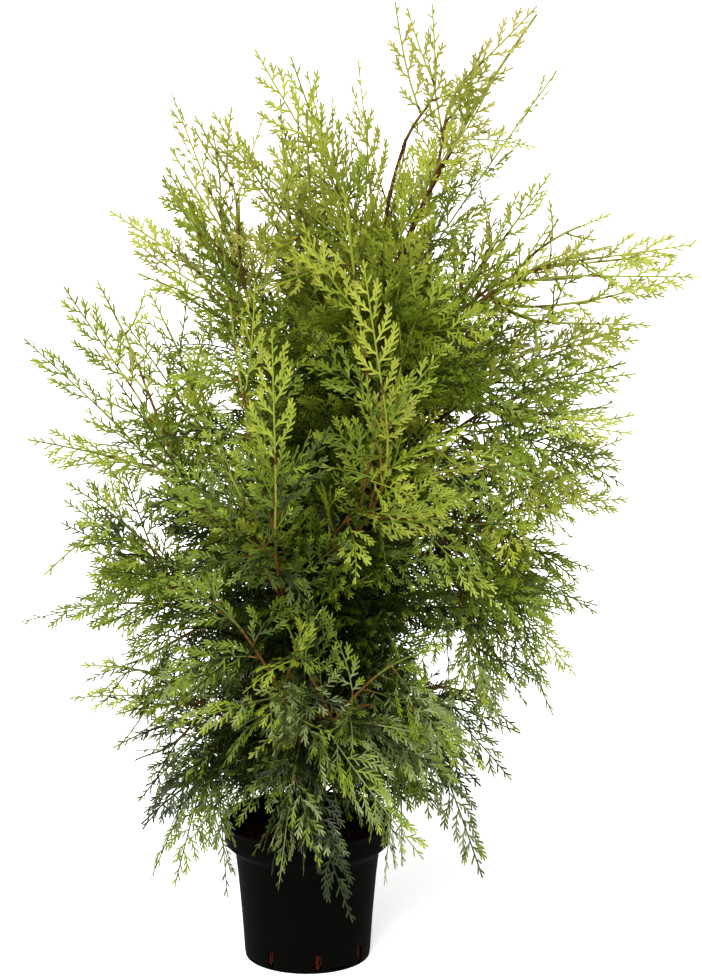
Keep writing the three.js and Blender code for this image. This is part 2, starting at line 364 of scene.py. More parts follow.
# %% [markdown]
# The crown has no steps in it, because more shoots fork off the main ones and close the space
# between one plume and the next. Such a fork leaves the shoot of one plume, arches up or down
# towards its neighbour, and ends in the space between their two tips.

# %% Forks between the plumes
FORKS = {
    "right_skirt_high": ["right_hem"],
    "right_hem": ["right_side_low", "front_right_low", "right_skirt_high"],
    "right_side_low": ["right_side", "right_hem", "front_right_side", "back_right_low"],
    "right_side": ["right_side_high", "right_side_low"],
    "right_side_high": ["right_arm_low", "front_right_shoot", "right_side"],
    "right_arm": ["right_crest", "right_arm_low"],
    "right_arm_low": ["right_crest", "right_side_high", "right_arm"],
    "right_crest": ["back_shoulder_right"],
    "left_skirt_high": ["left_hem"],
    "left_hem": ["left_side_low", "left_skirt_high", "front_left_low"],
    "left_side_low": ["left_side", "left_hem", "front_left_side"],
    "left_side": ["left_arm_low"],
    "left_side_high": ["left_shoulder", "front_left_shoot"],
    "left_crest": ["top_arch", "left_shoulder_high"],
    "top_crest": ["back_crest", "back_shoulder_right"],
    "top_arch": ["left_crest", "back_crest"],
    "front_left_low": ["front_left_side", "front_right_low", "front_right_side"],
    "front_left_side": ["front_left_shoot", "front_right_side"],
    "front_right_low": ["front_right_side", "front_left_side", "right_hem"],
    "front_right_side": ["front_right_shoot", "right_side", "right_side_low"],
    "front_right_shoot": ["right_crest", "top_crest"],
    "front_left_shoot": ["left_crest"],
    "back_left_low": ["back_left_side"],
    "back_left_side": ["back_left_high"],
    "back_left_high": ["back_shoulder_left"],
    "back_right_low": ["back_right_side"],
    "back_right_side": ["back_right_high"],
    "back_right_high": ["back_shoulder_right", "right_crest"],
}
FORK_STARTS = (0.2, 0.5)  # shares of the carrying shoot's length
FORK_LEANS = (0.4, 0.7)  # shares of the way from the one tip to the other
FORK_REACH = 0.88  # of the way to the place between the tips
FORK_ARCH = 0.22  # of its length, how far a fork's bend lies above or below the straight way
by_name = {shoot["name"]: shoot for shoot in shoots}


def fork(first, second, lean):
    """A shoot that leaves the first shoot and ends at a share of the way between the two tips."""
    start = first["line"][int(rng.uniform(*FORK_STARTS) * len(first["line"]))]
    between = (1 - lean) * first["line"][-1] + lean * second["line"][-1]
    chord = FORK_REACH * (between - start)
    reach = np.linalg.norm(chord)
    rising = np.sign(second["line"][-1, 2] - first["line"][-1, 2])
    bend = start + 0.5 * chord + FORK_ARCH * reach * rising * UP
    return {**first, "line": arc(start, bend, start + chord, reach), "reach": reach}


pairs = [(by_name[a], by_name[b]) for a, neighbours in FORKS.items() for b in neighbours]
forks = [fork(a, b, rng.uniform(*FORK_LEANS)) for a, b in pairs]
print(f"{len(forks)} forks, {sum(s['reach'] for s in forks):.1f} m in all")

# %% [markdown]
# ## How a thuja branches
# The foliage of a thuja is flat. A frond has one axis, with side axes left and right by turns, and
# those bear either the finest shoots or side axes of their own. The finest shoots are the little
# green fingers, about 2 mm wide, that are wrapped in scale leaves. Every order follows the same rule,
# so one function grows any order from the one before. An axis is an arc: it starts with one heading
# and turns evenly towards another, so a place on it takes one line of arithmetic, for all axes at
# once. Low in the crown, where the sprays are old and heavy, every axis also sinks a little.

# %% The branching rule
FINGER = 15 * MM  # a side shoot shorter than this is a finger, with no shoots of its own
SHORTEST = 9 * MM
CROWDING = 1.3  # above 1, side shoots stand closer together towards the tip
YOUNG_GAP = 0.3  # how much further apart they stand where growth is fastest
CURL = 0.7  # how far they turn back towards the heading of their own axis
DROOP = 0.35  # how far they sink at the foot of the crown
DROOP_UNTIL = 0.7  # height in metres above which they don't
LIGHTER_TIPS = 0.10  # how much lighter foliage is at the tip of an axis than at its foot


class Axes:
    """Many shoots at once: where they start, their heading, how they turn, length and flat side."""

    def __init__(self, start, heading, turn, length, normal, tint, vigour):
        self.start, self.heading, self.turn = start, heading, turn
        self.length, self.normal, self.tint, self.vigour = length, normal, tint, vigour

    def __len__(self):
        return len(self.length)

    def at(self, owner, share):
        """Places and headings at a share of the way along the axes numbered owner."""
        s = share[:, None]
        along = self.heading[owner] * s + self.turn[owner] * s**2 / 2
        places = self.start[owner] + along * self.length[owner][:, None]
        return places, unit(self.heading[owner] + self.turn[owner] * s)

    def all_at(self, share):
        """The same for all the axes at one share."""
        return self.at(np.arange(len(self)), np.full(len(self), share))

    def pick(self, wanted):
        return Axes(*(getattr(self, k)[wanted] for k in AXES_FIELDS))


AXES_FIELDS = ("start", "heading", "turn", "length", "normal", "tint", "vigour")


def fan(share):
    """Outline of a frond: side shoots are longest a fifth of the way up and shorten from there."""
    return (0.5 + 0.5 * np.minimum(1, share / 0.22)) * np.maximum(0, 1 - share) ** 0.7


def side_shoots(axes, width, gap_at, gap_per, spread, looseness):
    """Side shoots of all the axes, left and right by turns in each axis's plane.

    Width is the longest side shoot's share of its axis. The gap between two is gap_at in millimetres
    and gap_per of that longest one. Spread is the angle in degrees at which they leave the axis.
    """
    widest = axes.length * width
    gap = (gap_at * MM + gap_per * widest) * (1 + YOUNG_GAP * axes.vigour)
    count = np.maximum(2, (axes.length / gap).astype(int))
    owner = np.repeat(np.arange(len(axes)), count)
    order = np.arange(len(owner)) - np.repeat(np.cumsum(count) - count, count)
    share = (order + 0.8 + looseness * rng.uniform(-0.3, 0.3, len(owner))) / (count[owner] + 0.4)
    share = 1 - (1 - share) ** CROWDING
    side = np.where((order + owner) % 2 == 0, 1.0, -1.0)
    places, headings = axes.at(owner, share)
    normals = axes.normal[owner]
    across = unit(np.cross(normals, headings)) * side[:, None]
    angle = spread - 4 * axes.vigour[owner] - 7 * share + looseness * rng.normal(0, 6, len(owner))
    angle = np.radians(angle)
    out = np.cos(angle)[:, None] * headings + np.sin(angle)[:, None] * across
    out = unit(out + normals * looseness * rng.normal(0, 0.12, len(owner))[:, None])
    length = widest[owner] * fan(share) * (1 + looseness * rng.uniform(-0.25, 0.2, len(owner)))
    turn = CURL * (headings - out) + looseness * rng.normal(0, 0.15, (len(owner), 3))
    tilt = unit(normals + looseness * rng.normal(0, 0.14, (len(owner), 3)))
    normal = unit(tilt - out * np.sum(tilt * out, axis=1)[:, None])
    tint = axes.tint[owner] + LIGHTER_TIPS * share
    turn = turn - DROOP * np.clip(1 - places[:, 2] / DROOP_UNTIL, 0, 1)[:, None] * UP
    return Axes(places, out, turn, length, normal, tint, axes.vigour[owner])


# %% [markdown]
# ## Fronds along the shoots
# Each shoot bears fronds along two thirds of its length, spread round it by the golden angle, as buds
# are on many plants, and one last frond goes on to its tip. A frond reaches about as far as the plume
# is wide there, so the fronds fill the same space as the solid and come out loose at its surface.
# Thuja fronds turn their flat sides to the light, so each is tilted towards the bright side of the
# plant, some more and some less. Old, low fronds are broad and hang, young, high ones are slender and
# rise, and the colour goes with age: deep green and grey-green low down, lime and straw yellow at the
# top. On top of that, the colour is painted lighter towards the outside of the crown and darker inside
# it, as painted light and shade.

# %% Grow the fronds
GOLDEN_ANGLE = math.radians(137.5)
FULLNESS = {
    "left_arm": 0.55, "left_arm_low": 0.5, "left_side_high": 0.5, "left_side": 0.85,
    "left_side_low": 0.7, "left_hem": 0.65, "left_skirt_high": 0.5, "left_skirt": 1.2,
    "left_crest": 0.6, "left_shoulder_high": 0.65, "left_shoulder": 1.0,
    "right_arm": 0.7, "right_arm_low": 0.8, "right_crest": 0.65, "right_side_high": 0.95,
    "right_side": 1.35, "right_side_low": 1.15, "right_hem": 1.0, "right_skirt_high": 0.45,
    "front_left_shoot": 0.75, "front_right_shoot": 0.65, "front_right_low": 1.4,
    "back_left_high": 0.5, "back_right_high": 1.25, "back_shoulder_right": 0.85, "back_crest": 0.5,
    "back_right_low": 1.3, "back_right_side": 1.15, "top_arch": 1.55, "top_crest": 0.42,
    "leader_tuft": 0.8,
}  # how long a plume's fronds are, as a share of what would fill its solid
USUAL_FULLNESS = 0.95  # the same for the plumes that aren't named above
CROWN_FOOT, CROWN_TOP = 0.14, float(cad_box[1][2])
LOW_FROND_GAP, HIGH_FROND_GAP = 12 * MM, 18 * MM
FRONDS_UNTIL = 0.68  # share of a shoot where its last frond, which goes on to the tip, starts
SHORTEST_FROND, LONGEST_FROND = 70 * MM, 210 * MM
TIP_SLACK = 12 * MM  # how far a frond may outgrow the tip of its shoot
LEAST_ROOM = 25 * MM
FROND_ANGLE, YOUNG_FROND_ANGLE = 58, 50  # degrees from the shoot
LEVEL_HEIGHT, LIFT_OVER = 0.55, 0.22  # metres: fronds neither rise nor hang here, and fully do this far off
BRIGHT_SIDE = np.array([-0.15, -0.9, 0.35])
# LIGHT_SPAN is painted light: outer fronds are made lighter and inner ones darker.
GREENEST, AGE_SPAN, LIGHT_SPAN = 0.10, 0.59, 0.12  # how tint goes up with height and with light


def plume_outline(t):
    """Width of a plume along its shoot, by the rule that shaped its solid."""
    return np.sin(math.pi * t**0.6) ** 0.75


def crown_share(height):
    """0 at the foot of the crown and 1 at its top."""
    return (height - CROWN_FOOT) / (CROWN_TOP - CROWN_FOOT)


def crown_radius(height):
    """Rough half width of the crown at a height, to tell inside from outside."""
    h = np.clip(crown_share(height), 0, 1)
    return 0.10 + 0.20 * np.sin(math.pi * h**0.8) ** 0.7


def outwardness(places):
    """0 at the leader and 1 at the outside of the crown."""
    axis_x = np.interp(places[:, 2], leader_line[:, 2], leader_line[:, 0])
    return np.hypot(places[:, 0] - axis_x, places[:, 1]) / crown_radius(places[:, 2])


def age_and_light_tint(places):
    """0 is the deepest green and 1 the lightest yellow: by age with height, plus painted light outside."""
    height = np.clip(crown_share(places[:, 2]), 0, 1)
    # Painted light and shade: outer fronds lighter, inner ones darker, most so high in the crown.
    in_the_light = np.clip(outwardness(places), 0, 1.2) * np.clip(2.2 * height, 0.25, 1)
    return GREENEST + AGE_SPAN * height**1.7 + LIGHT_SPAN * in_the_light


def on_line(line, share):
    """Places on a line, and the line's headings there."""
    knots = np.linspace(0, 1, len(line))
    slopes = np.gradient(line, axis=0)
    places = np.stack([np.interp(share, knots, line[:, k]) for k in range(3)], axis=1)
    return places, unit(np.stack([np.interp(share, knots, slopes[:, k]) for k in range(3)], axis=1))


def upright(tilt, heading):
    """The flat side that is nearest to tilt and square to the heading."""
    return unit(tilt - heading * np.sum(tilt * heading, axis=1)[:, None])


def facing_light(heading, looseness):
    """Flat sides as fronds hold them: turned to the brighter side, where the plant had its light."""
    count = len(heading)
    tilt = BRIGHT_SIDE * rng.choice([-1, 1], count)[:, None]
    return upright(tilt + rng.normal(0, looseness, (count, 3)), heading)


def vigour_of(shoot):
    """0 for the old wood low down and 1 for the fast young growth at the top."""
    return float(np.clip(1.6 * crown_share(shoot["line"][-1, 2]) - 0.45, 0, 1))


def lift_at(height):
    """Fronds rise towards the light high in the crown (1) and hang under their weight low down (-1)."""
    return np.clip((height - LEVEL_HEIGHT) / LIFT_OVER, -1, 1)


def room_for(shoot, spots, along):
    """How long fronds may be, so that they don't outgrow their shoot's tip outwards or upwards."""
    start, tip = shoot["line"][0], shoot["line"][-1]
    chord = unit(tip - start)
    outwards = ((tip - spots) @ chord + TIP_SLACK) / np.maximum(along @ chord, 0.15)
    upwards = (tip[2] - spots[:, 2] + TIP_SLACK) / np.maximum(along[:, 2], 0.15)
    falling = along[:, 2] < 0.15
    return np.maximum(np.minimum(outwards, np.where(falling, 1.0, upwards)), LEAST_ROOM)


def grow_plume(shoot, index):
    """All the fronds of one shoot."""
    line, reach, vigour = shoot["line"], shoot["reach"], vigour_of(shoot)
    steps = np.linalg.norm(np.diff(line, axis=0), axis=1).sum()
    count = int(FRONDS_UNTIL * steps / (LOW_FROND_GAP + (HIGH_FROND_GAP - LOW_FROND_GAP) * vigour))
    order = np.arange(count)
    t = FRONDS_UNTIL * (order + 1) / count
    spots, heading = on_line(line, t)
    turned = order * GOLDEN_ANGLE + index + rng.normal(0, 0.25, count)
    sideways = np.cos(turned)[:, None] * shoot["across"] + np.sin(turned)[:, None] * shoot["rise"]
    local = np.hypot(np.cos(turned) * shoot["half"][0], np.sin(turned) * shoot["half"][1])
    local = local * plume_outline(t)
    out = unit(sideways - heading * np.sum(sideways * heading, axis=1)[:, None])
    usual_angle = FROND_ANGLE + (YOUNG_FROND_ANGLE - FROND_ANGLE) * vigour
    angle = np.radians(np.clip(rng.normal(usual_angle, 17, count) - 10 * t, 18, 90))
    frond_heading = np.cos(angle)[:, None] * heading + np.sin(angle)[:, None] * out
    lift = lift_at(spots[:, 2])
    favoured = 1 + 0.45 * lift * (out @ UP)
    length = np.clip(local * 1.35 / np.sin(angle), SHORTEST_FROND, LONGEST_FROND)
    length = length * rng.uniform(0.55, 1.25, count)
    length = np.minimum(length * favoured, (1 - t) * reach * 0.85 + 22 * MM)
    length = length * FULLNESS.get(shoot["name"], USUAL_FULLNESS)
    bend = 0.45 * (lift + rng.normal(0, 0.6, count))
    turn = bend[:, None] * UP + rng.normal(0, 0.3, (count, 3))
    length = np.minimum(length, room_for(shoot, spots, frond_heading + turn / 2))
    tint = age_and_light_tint(spots) + 0.10 * t + rng.normal(0, 0.10, count) + rng.normal(0, 0.03)
    turn[-1] = 0.25 * UP * (vigour - 0.6)
    frond_heading[-1] = heading[-1]
    length[-1] = np.linalg.norm(line[-1] - spots[-1])
    normal = facing_light(frond_heading, 0.42)
    return Axes(spots, frond_heading, turn, length, normal, tint, np.full(count, vigour))


def join(groups):
    """Several groups of axes as one."""
    return Axes(*(np.concatenate([getattr(g, k) for g in groups]) for k in AXES_FIELDS))


fronds = join([grow_plume(shoot, index) for index, shoot in enumerate(shoots + forks)])
print(f"{len(fronds)} fronds, {fronds.length.sum():.1f} m in all")

# %% [markdown]
# The crown is full right up to the leader. Long fronds grow from the leader and from the boughs too,
# and arch outwards and down. Their green is made darker as painted shade, for the shade inside the
# crown. The lowest ones hang over the rim of the pot like a skirt.

# %% Inner fronds
LEADER_FRONDS = 200
BOUGH_FRONDS = 20
TOP_FRONDS = 26
SKIRT_FRONDS = 60
SKIRT_HEIGHTS = (190, 300)  # mm above the floor
# SHADE is painted shade: the inner fronds' tint is lowered by this much.
SHADE = 0.11  # how much deeper than the outer fronds their green is


def grow_inner(line, first, last, count, length_range, index):
    """Fronds round a stretch of a limb, between two shares of its length."""
    share = first + (last - first) * (np.arange(count) + rng.uniform(0, 1, count)) / count
    spots, along = on_line(line, share)
    turned = np.arange(count) * GOLDEN_ANGLE + index
    side = unit(np.cross(along, np.array([0.31, -0.9, 0.2])))
    out = np.cos(turned)[:, None] * side + np.sin(turned)[:, None] * np.cross(along, side)
    heading = unit(out + along * rng.uniform(0.1, 1.0, count)[:, None] + 0.35 * UP)
    length = rng.uniform(*length_range, count) * MM
    turn = -0.5 * UP * rng.uniform(0.2, 1.6, count)[:, None] + rng.normal(0, 0.15, (count, 3))
    # Painted shade: inner fronds take a darker tint.
    tint = age_and_light_tint(spots + heading * length[:, None] * 0.5) - SHADE + rng.normal(0, 0.08, count)
    return Axes(spots, heading, turn, length, facing_light(heading, 0.5), tint, np.full(count, 0.1))


def grow_skirt():
    """Low fronds from the foot of the leader, out over the rim of the pot and down."""
    turned = np.arange(SKIRT_FRONDS) * GOLDEN_ANGLE
    heights = rng.uniform(*SKIRT_HEIGHTS, SKIRT_FRONDS) * MM
    foot = np.stack([np.interp(heights, leader_line[:, 2], leader_line[:, k]) for k in range(3)], axis=1)
    out = np.stack([np.cos(turned), np.sin(turned), np.zeros(SKIRT_FRONDS)], axis=1)
    spots = foot + out * rng.uniform(5, 50, SKIRT_FRONDS)[:, None] * MM
    heading = unit(out + UP * rng.uniform(-0.05, 0.35, SKIRT_FRONDS)[:, None])
    turn = -UP * rng.uniform(0.7, 1.7, SKIRT_FRONDS)[:, None] + rng.normal(0, 0.2, (SKIRT_FRONDS, 3))
    length = rng.uniform(80, 135, SKIRT_FRONDS) * MM
    tint = age_and_light_tint(spots) + rng.normal(0.06, 0.08, SKIRT_FRONDS)
    normal = facing_light(heading, 0.5)
    return Axes(spots, heading, turn, length, normal, tint, np.zeros(SKIRT_FRONDS))


fronds = join(
    [fronds, grow_inner(leader_line, 0.03, 0.60, LEADER_FRONDS, (90, 190), 0)]
    + [grow_inner(leader_line, 0.60, 0.86, TOP_FRONDS, (45, 90), 1)]
    + [grow_inner(limbs[name][0], 0.15, 1.0, BOUGH_FRONDS, (80, 170), k) for k, name in enumerate(boughs)]
    + [grow_skirt()]
)
print(f"{len(fronds)} fronds with the inner ones, {fronds.length.sum():.1f} m")

# %% [markdown]
# ## Keeping clear of the pot
# Nothing may grow through the pot or far outside the plan. Whatever would is pruned before any mesh
# is made: whole fronds first, so that nothing is left hanging in the air, and then what grows on
# the rest.

# %% What is clear of the pot
POT_CLEARANCE = 1.5 * MM
PROUD = 8 * MM  # how far foliage may stand out of the plan's box
rim_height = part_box("pot")[1][2]
rim_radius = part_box("pot")[1][0]
compost_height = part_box("compost")[1][2]
POT_BODY_RADIUS = 0.852 * rim_radius  # just under the band
POT_FOOT_RADIUS = 0.737 * rim_radius
BAND_FOOT = 0.77 * rim_height


def pot_radius(height):
    """Radius of the outside of the pot's body at a height, leaving out the band."""
    return POT_FOOT_RADIUS + (POT_BODY_RADIUS - POT_FOOT_RADIUS) * np.clip(height / BAND_FOOT, 0, 1)


def pot_reach(height):
    """The same with the band."""
    return np.where(height > BAND_FOOT, rim_radius, pot_radius(height))


def clear_of_pot(places):
    """Beside the pot, above its rim, or above the compost inside it."""
    radius = np.hypot(places[:, 0], places[:, 1])
    beside = radius > pot_reach(places[:, 2]) + POT_CLEARANCE
    above = (places[:, 2] > rim_height) | ((radius < rim_radius - 6 * MM) & (places[:, 2] > compost_height))
    return beside | above


def inside_plan(places):
    """Inside the plan's box, and not on the floor."""
    low = np.array(cad_box[0]) - PROUD
    high = np.array(cad_box[1]) + PROUD
    return np.all((places > low) & (places < high), axis=1) & (places[:, 2] > 10 * MM)


def prune(axes):
    """Only the axes that are clear at both ends."""
    ends, _ = axes.all_at(1.0)
    return axes.pick(clear_of_pot(ends) & clear_of_pot(axes.start) & inside_plan(ends))


def whole(fronds):
    """Only the fronds that are clear half way and at their ends."""
    middles, _ = fronds.all_at(0.5)
    return prune(fronds.pick(clear_of_pot(middles)))


before = len(fronds)
fronds = whole(fronds)
print(f"{before - len(fronds)} fronds pruned, {len(fronds)} left")

# %% [markdown]
# The side axes and the fingers of all these fronds grow by the branching rule above.

# %% Side axes and fingers
branchlets = side_shoots(fronds, width=0.40, gap_at=4.0, gap_per=0.08, spread=54, looseness=1.0)
long_ones = branchlets.length > FINGER
fingers = [branchlets.pick(~long_ones)]
branchlets = branchlets.pick(long_ones)

twiglets = side_shoots(branchlets, width=0.38, gap_at=2.6, gap_per=0.05, spread=48, looseness=0.5)
long_ones = twiglets.length > FINGER
fingers.append(twiglets.pick(~long_ones))
twiglets = twiglets.pick(long_ones)

fingers.append(side_shoots(twiglets, width=0.5, gap_at=2.6, gap_per=0.05, spread=46, looseness=0.5))


def end_fingers(axes):
    """One short finger that goes on from the end of each axis."""
    places, headings = axes.all_at(1.0)
    straight, length = np.zeros(places.shape), np.full(len(axes), SHORTEST)
    return Axes(places, headings, straight, length, axes.normal, axes.tint + LIGHTER_TIPS, axes.vigour)


fingers += [end_fingers(group) for group in (fronds, branchlets, twiglets)]
fingers = join(fingers)
fingers.length = np.clip(fingers.length, SHORTEST, FINGER)
print(f"{len(branchlets)} side axes, {len(twiglets)} finer ones, {len(fingers)} fingers")

# %% Prune what grows on them
before = len(fingers)
fingers, branchlets, twiglets = prune(fingers), prune(branchlets), prune(twiglets)
print(f"{before - len(fingers)} fingers pruned, {len(fingers)} left")

# %% [markdown]
# ## Foliage materials
# The scale leaves are covered by a thin wax, which gives them a soft gloss: a roughness of 0.5 and
# the IOR of wax and leaf, about 1.45. Each tint is nearly one plain colour, and each spray takes a
# tint by its age and by painted light: lighter towards the outside of the crown, darker inside it.
# Low down, some sprays are grey-green instead.

# %% Foliage tints
TINTS = [
    ("shade_green", "#192305", "#242f07"),
    ("deep_green", "#313d0a", "#3e4b0f"),
    ("leaf_green", "#505f13", "#5e6c1a"),
    ("fresh_green", "#6a7522", "#768028"),
    ("bright_green", "#787f2a", "#83872e"),
    ("lime", "#757535", "#7f7e3a"),
    ("straw", "#807841", "#8a8248"),
]
GREY_GREEN = ("grey_green", "#586239", "#6a7246")

# %% Fingers, ribbons and frond axes into meshes
FINGER_WIDTH, YOUNG_FINGER_WIDTH = 2.0 * MM, 2.5 * MM
ROUGHNESS_OF_WAX = 0.5
RIBBON_WIDTH, FINE_RIBBON_WIDTH = 1.9 * MM, 1.8 * MM
FROND_RADIUS, FROND_FOOT_RADIUS = 1.0 * MM, 1.1 * MM
GREY_SHARE = 0.35
GREY_BELOW = 0.36  # metres above the floor
BARE_SHARE = 0.12  # of a frond's axis, from its foot, before the scale leaves start


def finger_mesh(fingers):
    """Each finger is three faces: a raised strip from foot to tip, and a lower wing on each side."""
    heading, normal = fingers.heading, fingers.normal
    across = np.cross(normal, heading)
    length = fingers.length[:, None]
    width = FINGER_WIDTH + (YOUNG_FINGER_WIDTH - FINGER_WIDTH) * fingers.vigour
    width = (width * rng.uniform(0.85, 1.15, len(fingers)))[:, None]
    lean = fingers.turn * length * 0.5
    foot = fingers.start
    shoulder = foot + heading * length * 0.78 + lean * 0.6 - normal * width * 0.25  # where it is widest
    points = np.stack(
        [
            foot - across * width * 0.42,
            foot + across * width * 0.42,
            shoulder + across * width * 0.5,
            foot + heading * length + lean,
            shoulder - across * width * 0.5,
        ],
        axis=1,
    )
    return repeated(points, [[0, 1, 3], [1, 2, 3], [0, 3, 4]])


def ribbon_mesh(axes, width):
    """The green axes between the fingers: flat ribbons of three lengths each."""
    rows = []
    for share, narrowing in ((0.0, 1.0), (0.35, 0.95), (0.7, 0.9), (1.0, 0.8)):
        places, headings = axes.all_at(share)
        half = width * narrowing * (1 + 0.3 * axes.vigour)[:, None] / 2
        across = unit(np.cross(axes.normal, headings)) * half
        rows += [places - across, places + across]
    strip = [[0, 1, 3], [0, 3, 2], [2, 3, 5], [2, 5, 4], [4, 5, 7], [4, 7, 6]]
    return repeated(np.stack(rows, axis=1), strip)


def frond_tubes(axes, first, last, radius):
    """Four-sided tubes along a stretch of every frond's axis at once."""
    rings = []
    shares = np.linspace(first, last, 2 if last < 0.5 else 5)
    for share in shares:
        places, headings = axes.all_at(share)
        third = np.cross(headings, axes.normal)
        size = (radius * (1 + 0.25 * axes.vigour) * (1 - 0.25 * share))[:, None]
        rings += [places + size * side for side in (third, axes.normal, -third, -axes.normal)]
    walls = []
    for ring in range(len(shares) - 1):
        for k in range(4):
            a, b = 4 * ring + k, 4 * ring + (k + 1) % 4
            walls += [[a, b, b + 4], [a, b + 4, a + 4]]
    return repeated(np.stack(rings, axis=1), walls)


def tint_class(axes):
    """The number of each axis's tint. Grey-green comes last, and is on low sprays in bands 15 mm apart."""
    number = np.clip((axes.tint * len(TINTS)).astype(int), 0, len(TINTS) - 1)
    low = axes.start[:, 2] < GREY_BELOW
    scattered = np.modf(np.abs(axes.start[:, 0] * 37 + axes.start[:, 1] * 53))[0]
    grey = low & (number > 0) & (scattered < GREY_SHARE)
    return np.where(grey, len(TINTS), number)


finger_class, frond_class = tint_class(fingers), tint_class(fronds)
branchlet_class, twiglet_class = tint_class(branchlets), tint_class(twiglets)
plume_nodes = [f"plume_{shoot['name']}" for shoot in shoots]

for number, (name, dark, light) in enumerate(TINTS + [GREY_GREEN]):
    parts = [
        finger_mesh(fingers.pick(finger_class == number)),
        ribbon_mesh(branchlets.pick(branchlet_class == number), RIBBON_WIDTH),
        ribbon_mesh(twiglets.pick(twiglet_class == number), FINE_RIBBON_WIDTH),
        frond_tubes(fronds.pick(frond_class == number), BARE_SHARE, 1.0, FROND_RADIUS),
    ]
    material = patterned(f"scale_leaves_{name}", dark, light, 14, ROUGHNESS_OF_WAX, 0.3, gloss=0.3)
    place(mesh_piece(f"foliage_{name}", *joined(parts), material), "foliage", *plume_nodes)

# %% [markdown]
# ## Limbs with bark
# Young thuja bark is red-brown and comes off in thin fibres that run along the limb. The relief is
# real geometry: each limb is a tube whose rings stand in and out by a sum of waves that are long
# along the limb and short round it.

# %% Tubes
def tube(line, radii, sides, relief=0.0, seed=0.0):
    """Points and faces of a closed tube along a line, with ridges of a given height in metres."""
    tangents = unit(np.gradient(line, axis=0))
    side = unit(np.cross(tangents[0], np.array([0.31, -0.9, 0.2])))
    rows = []
    length = np.concatenate([[0], np.cumsum(np.linalg.norm(np.diff(line, axis=0), axis=1))])
    around = np.arange(sides) * 2 * math.pi / sides
    for spot, tangent, radius, run in zip(line, tangents, radii, length):
        side = unit(side - tangent * (side @ tangent))
        third = np.cross(tangent, side)
        waves = (
            np.sin(5 * around + 9 * run / 0.1 + seed)
            + 0.7 * np.sin(9 * around - 14 * run / 0.1 + 2 * seed)
            + 0.6 * np.sin(3 * around + 37 * run / 0.1 + 3 * seed)
        )
        ring = (radius + relief * waves)[:, None]
        rows.append(spot + ring * (np.cos(around)[:, None] * side + np.sin(around)[:, None] * third))
    count = len(line)
    points = np.concatenate(rows + [line[:1], line[-1:]])
    a = np.arange(sides)
    b = (a + 1) % sides
    first = (np.arange(count - 1) * sides)[:, None]
    corners = [first + a, first + b, first + sides + b, first + sides + a]
    walls = np.stack(corners, axis=-1).reshape(-1, 4)
    walls = np.concatenate([walls[:, [0, 1, 2]], walls[:, [0, 2, 3]]])
    foot, tip, top = count * sides, count * sides + 1, (count - 1) * sides
    foot_cap = np.stack([b, a, np.full(sides, foot)], axis=1)
    tip_cap = np.stack([top + a, top + b, np.full(sides, tip)], axis=1)
    return points, np.concatenate([walls, foot_cap, tip_cap])


# %% Bark on the leaders and boughs
BARK_RELIEF = 0.22 * MM
GREEN_LEADER_FROM = 0.91  # height in metres above which the leader is this year's green wood
bark = patterned("young_thuja_bark", "#34200f", "#543619", 3, 0.75, 0.5, stretch=(1, 1, 0.15), gloss=0.15)
old_bark = patterned("old_thuja_bark", "#38200f", "#5c381c", 4, 0.85, 0.8, stretch=(1, 1, 0.12), gloss=0.15)

line, radii = smooth_line(leader_line, leader_radii, 420)
leader_green_from = int(np.searchsorted(line[:, 2], GREEN_LEADER_FROM))
leader_top = (line[leader_green_from - 1 :], radii[leader_green_from - 1 :])
leader_part = tube(line[:leader_green_from], radii[:leader_green_from], 22, 1.6 * BARK_RELIEF, 0.3)
leader = mesh_piece("bark_leader", *leader_part, old_bark)
place(leader, "bark", "leader")

bough_tubes = []
for k, name in enumerate(boughs + ["second_leader"]):
    line, radii = limbs[name]
    line, radii = smooth_line(line, radii, 90)
    bough_tubes.append(tube(line, radii, 12, BARK_RELIEF, k))
place(mesh_piece("bark_boughs", *joined(bough_tubes), bark), "bark", *boughs, "second_leader")

# %% [markdown]
# ## Shoots and the axes of the fronds
# Beyond the end of its bough each shoot is still woody and brown, and it turns green towards its tip,
# where it is this year's growth. So a shoot is made in two lengths, one of bark and one of green
# wood, and low in the crown the green wood takes a darker copy of its material as painted shade. The
# foot of each frond is woody too. The rest of its axis is wrapped in scale leaves, and was made in its
# own tint above.

# %% Woody and green shoots
GREEN_FROM = 0.38  # share of a shoot's length where it turns green
SHOOT_RADIUS, SHOOT_TIP_RADIUS = 1.8 * MM, 1.0 * MM
# Painted shade: below this vigour a shoot's green wood takes the darker, shaded copy.
PAINTED_SHADE_BELOW = 0.3  # vigour under which a shoot's green wood is the deeper one

twig_bark = patterned("twig_bark", "#453014", "#61471e", 4, 0.6, 0.2, gloss=0.15)
green_wood = patterned("green_wood", "#656c24", "#777a2b", 6, 0.5, 0.2, gloss=0.3)
# A darker copy of the green wood, as painted shade for the low shoots.
shaded_wood = patterned("shaded_green_wood", "#404d17", "#535c21", 6, 0.5, 0.2, gloss=0.3)

woody, green, painted_shade_shoots = [], [tube(*leader_top, 10)], []
for k, shoot in enumerate(shoots + forks):
    line = shoot["line"]
    radii = np.linspace(SHOOT_RADIUS, SHOOT_TIP_RADIUS, len(line))
    split, end = int(GREEN_FROM * len(line)), math.ceil(FRONDS_UNTIL * len(line))
    woody.append(tube(line[: split + 1], radii[: split + 1], 7, 0.0, k))
    growing = green if vigour_of(shoot) > PAINTED_SHADE_BELOW else painted_shade_shoots
    growing.append(tube(line[split:end], radii[split:end], 6, 0.0, k))

